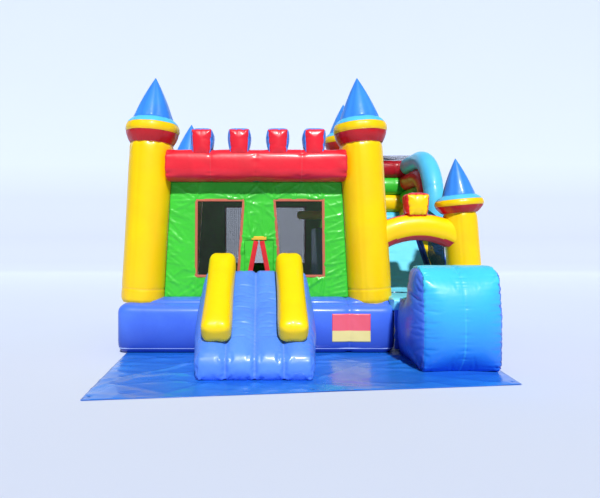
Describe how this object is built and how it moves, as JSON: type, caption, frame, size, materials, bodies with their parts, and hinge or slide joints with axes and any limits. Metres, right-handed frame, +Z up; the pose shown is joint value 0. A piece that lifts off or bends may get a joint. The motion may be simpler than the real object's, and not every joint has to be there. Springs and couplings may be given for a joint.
{
  "type": "inflatable bounce house",
  "caption": "Inflatable castle with corner towers, mesh windows, battlements, a padded entrance ramp and a side slide with a landing wall, fed by an electric blower.",
  "frame": {"origin": "on the ground under the centre of the square castle base", "axes": "+X to the right towards the slide, +Y from the entrance to the back, +Z up"},
  "size_m": [5.5, 7.23, 4.4784],
  "materials": {
    "sheet_blue": "gloss",
    "eyelet_brass": "satin",
    "vinyl_royal": "gloss",
    "vinyl_floor": "satin",
    "vinyl_white": "satin",
    "vinyl_patch": "satin",
    "vinyl_red": "gloss",
    "vinyl_green": "gloss",
    "vinyl_yellow": "gloss",
    "vinyl_cyan": "gloss",
    "vinyl_spire": "gloss",
    "mesh_dark": "matte",
    "webbing_rust": "matte",
    "webbing_yellow": "matte",
    "webbing_black": "matte",
    "ring_steel": "satin",
    "zip_metal": "satin",
    "blower_shell": "satin",
    "switch_plastic": "gloss",
    "grille_metal": "satin",
    "wheel_plastic": "matte",
    "motor_metal": "satin"
  },
  "bodies": {
    "castle": {"anchor_tabs": "webbing_black", "back_beam": "vinyl_red", "back_left_column": "vinyl_yellow", "back_right_column": "vinyl_yellow", "back_wall": "vinyl_green", "blower_grille": "grille_metal", "blower_housing": "blower_shell", "blower_motor": "motor_metal", "castle_base": "vinyl_royal", "castle_roof": "vinyl_green", "climb_roll": "vinyl_yellow", "climb_slope": "vinyl_cyan", "colour_patch": "vinyl_patch", "door_tab": "webbing_yellow", "entrance_ramp": "vinyl_royal", "front_beam": "vinyl_red", "front_left_column": "vinyl_yellow", "front_right_column": "vinyl_yellow", "front_wall": "vinyl_green", "ground_sheet": "sheet_blue", "guard_cyan": "vinyl_cyan", "guard_green": "vinyl_green", "guard_red": "vinyl_red", "guard_yellow": "vinyl_yellow", "inflation_sleeve": "vinyl_royal", "left_beam": "vinyl_red", "left_wall": "vinyl_green", "merlons": "vinyl_red", "ramp_rail_left": "vinyl_yellow", "ramp_rail_right": "vinyl_yellow", "right_beam": "vinyl_red", "right_wall": "vinyl_green", "sheet_eyelets": "eyelet_brass", "slide_arch": "vinyl_yellow", "slide_bed": "vinyl_cyan", "slide_body": "vinyl_cyan", "slide_column": "vinyl_yellow", "slide_net": "mesh_dark", "slide_rails": "vinyl_yellow", "slide_side_mesh": "mesh_dark", "slide_side_walls": "vinyl_royal", "slide_stopper": "vinyl_cyan", "tower_collars": "vinyl_red", "tower_crowns": "vinyl_yellow", "tower_shoulders": "vinyl_cyan", "tower_spires": "vinyl_spire", "window_bindings": "webbing_rust", "window_meshes": "mesh_dark", "zip_track": "webbing_black"},
    "floor": {"bounce_floor": "vinyl_floor", "floor_baffles": "vinyl_white"},
    "door_left": {"door_flap_left": "vinyl_green"},
    "door_right": {"door_flap_right": "vinyl_green"},
    "ring_left_front": {"anchor_ring_left_front": "ring_steel"},
    "ring_left_back": {"anchor_ring_left_back": "ring_steel"},
    "ring_right_front": {"anchor_ring_right_front": "ring_steel"},
    "ring_right_back": {"anchor_ring_right_back": "ring_steel"},
    "impeller": {"blower_impeller": "wheel_plastic"},
    "switch": {"blower_switch": "switch_plastic"},
    "zip_pull": {"zip_slider": "zip_metal"}
  },
  "joints": [
    {"name": "floor_bounce", "type": "slide", "parent": "castle", "child": "floor", "axis": [0, 0, 1], "range_m": [-0.12, 0], "stiffness_N_per_m": 5000, "springref_m": 0.09},
    {"name": "door_left_swing", "type": "hinge", "parent": "castle", "child": "door_left", "pos_m": [-0.164, -1.6, 1.1], "axis": [0, 0, 1], "range_deg": [-60, 80]},
    {"name": "door_right_swing", "type": "hinge", "parent": "castle", "child": "door_right", "pos_m": [0.244, -1.6, 1.1], "axis": [0, 0, -1], "range_deg": [-60, 80]},
    {"name": "ring_left_front_swing", "type": "hinge", "parent": "castle", "child": "ring_left_front", "pos_m": [-1.991, -1.1, 0.132], "axis": [0, 1, 0], "range_deg": [-5, 100]},
    {"name": "ring_left_back_swing", "type": "hinge", "parent": "castle", "child": "ring_left_back", "pos_m": [-1.991, 1.1, 0.132], "axis": [0, 1, 0], "range_deg": [-5, 100]},
    {"name": "ring_right_front_swing", "type": "hinge", "parent": "castle", "child": "ring_right_front", "pos_m": [3.311, -0.9, 0.132], "axis": [0, -1, 0], "range_deg": [-5, 100]},
    {"name": "ring_right_back_swing", "type": "hinge", "parent": "castle", "child": "ring_right_back", "pos_m": [3.311, 1.1, 0.132], "axis": [0, -1, 0], "range_deg": [-5, 100]},
    {"name": "impeller_spin", "type": "hinge", "parent": "castle", "child": "impeller", "pos_m": [-0.9, 2.82, 0.236], "axis": [1, 0, 0], "continuous": true},
    {"name": "switch_rock", "type": "hinge", "parent": "castle", "child": "switch", "pos_m": [-0.736, 2.97, 0.281], "axis": [0, 1, 0], "range_deg": [-10, 10]},
    {"name": "zip_slide", "type": "slide", "parent": "castle", "child": "zip_pull", "axis": [1, 0, 0], "range_m": [0, 0.85]}
  ]
}
